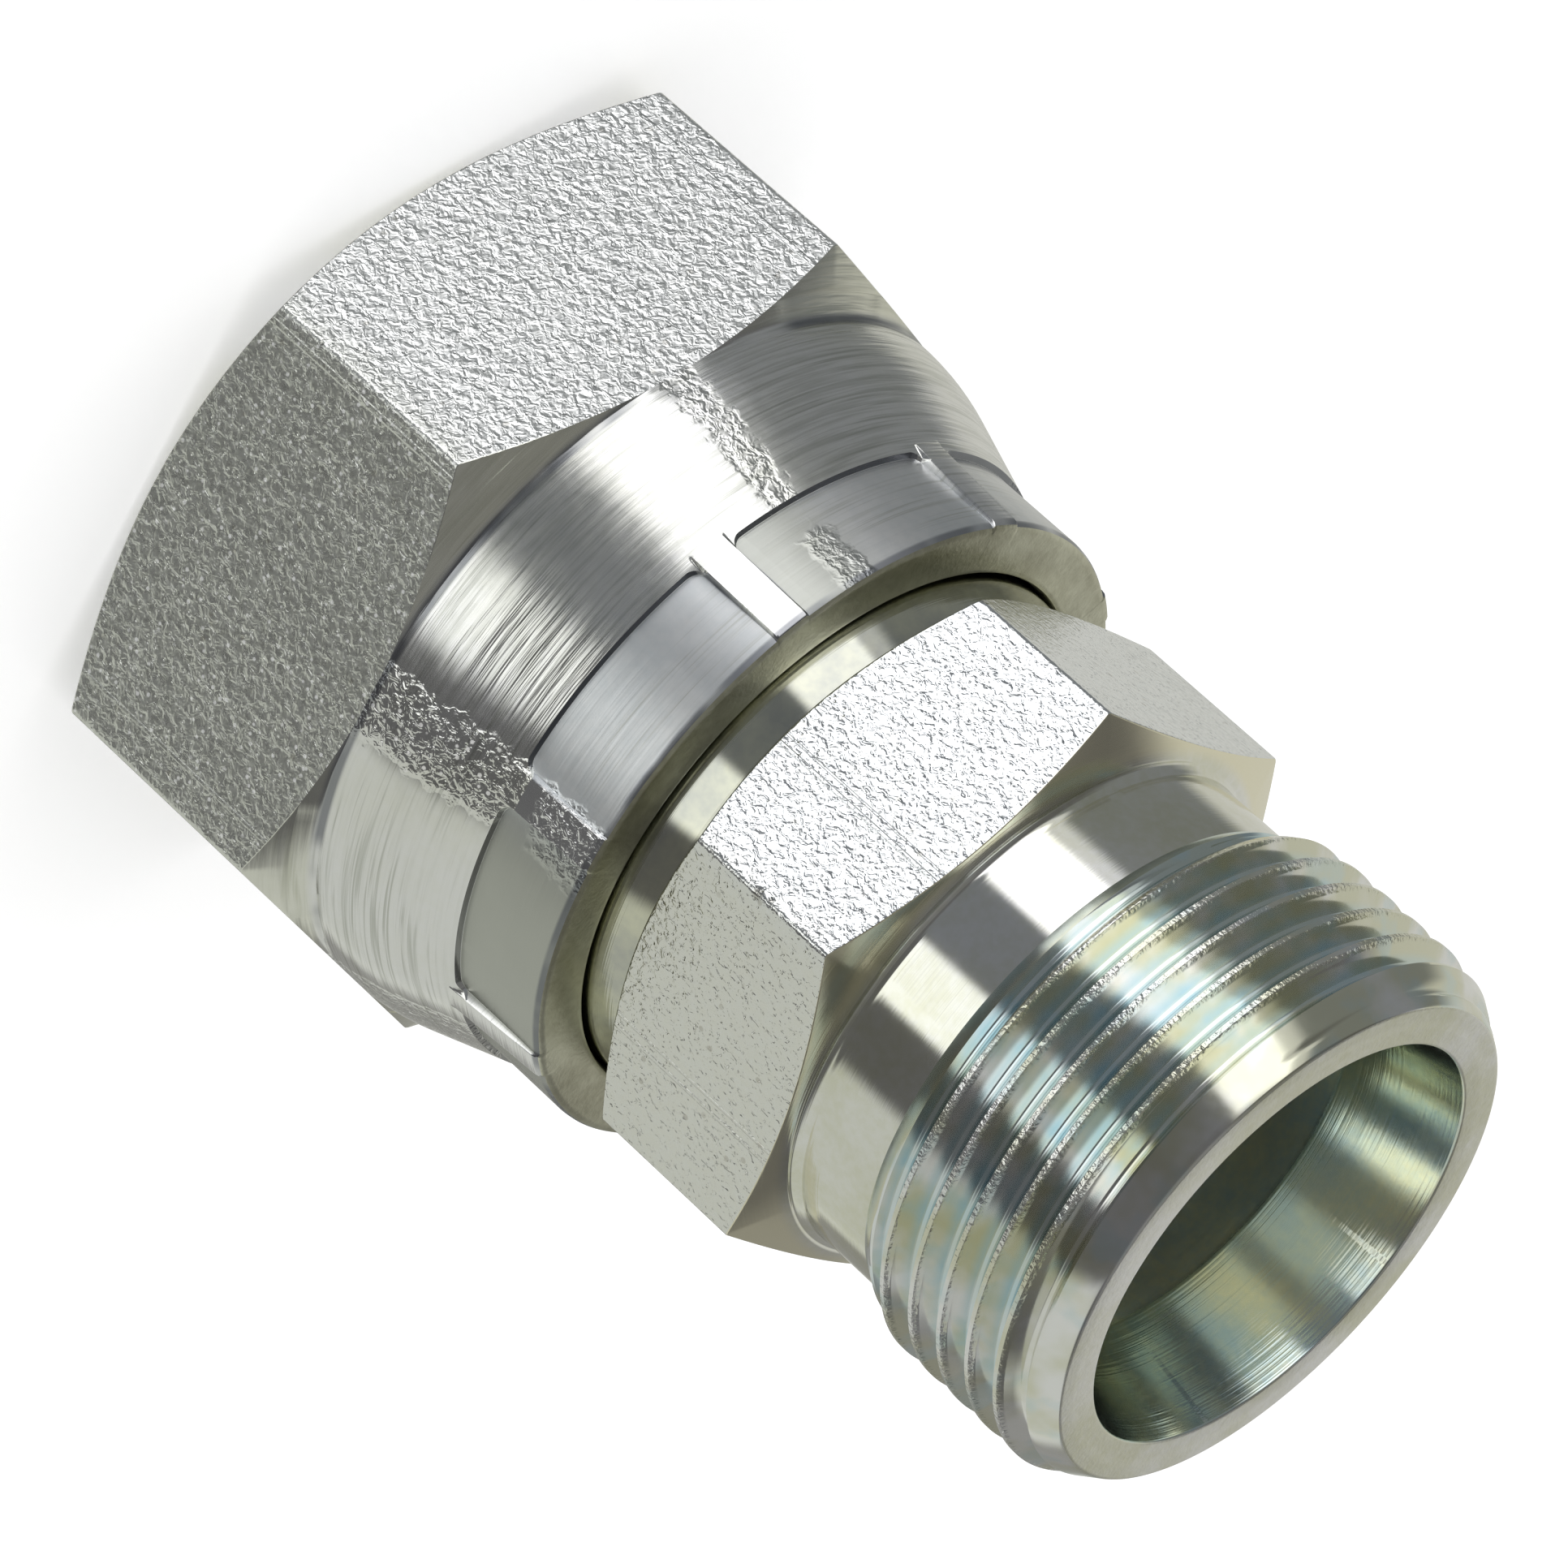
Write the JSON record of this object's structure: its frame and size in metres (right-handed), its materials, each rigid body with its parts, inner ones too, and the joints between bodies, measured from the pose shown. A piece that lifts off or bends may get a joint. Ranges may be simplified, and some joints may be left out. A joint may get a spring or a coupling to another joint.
{
  "type": "hydraulic fitting",
  "caption": "Straight hydraulic adapter: a male thread with a cone seat and hexagon on one side, and a crimped swivel nut with a female thread and flared seat on the other.",
  "frame": {"origin": "on the axis in the plane of the swivel nut's open end, which the fitting stands on", "axes": "+Z along the axis, from the swivel nut towards the male thread; +X through a corner of the body's hexagon"},
  "size_m": [0.0354, 0.0358, 0.0482],
  "materials": {
    "zinc_plated_body": "bright zinc plating over turned and forged steel",
    "zinc_plated_nut": "bright zinc plating over drawn hexagon bar, turned and crimped"
  },
  "bodies": {
    "fitting_body": {"fitting_body": "zinc_plated_body"},
    "swivel_nut": {"swivel_nut": "zinc_plated_nut"}
  },
  "joints": [
    {"name": "nut_swivel", "type": "hinge", "parent": "fitting_body", "child": "swivel_nut", "pos_m": [0, 0, 0], "axis": [0, 0, 1], "continuous": true}
  ]
}
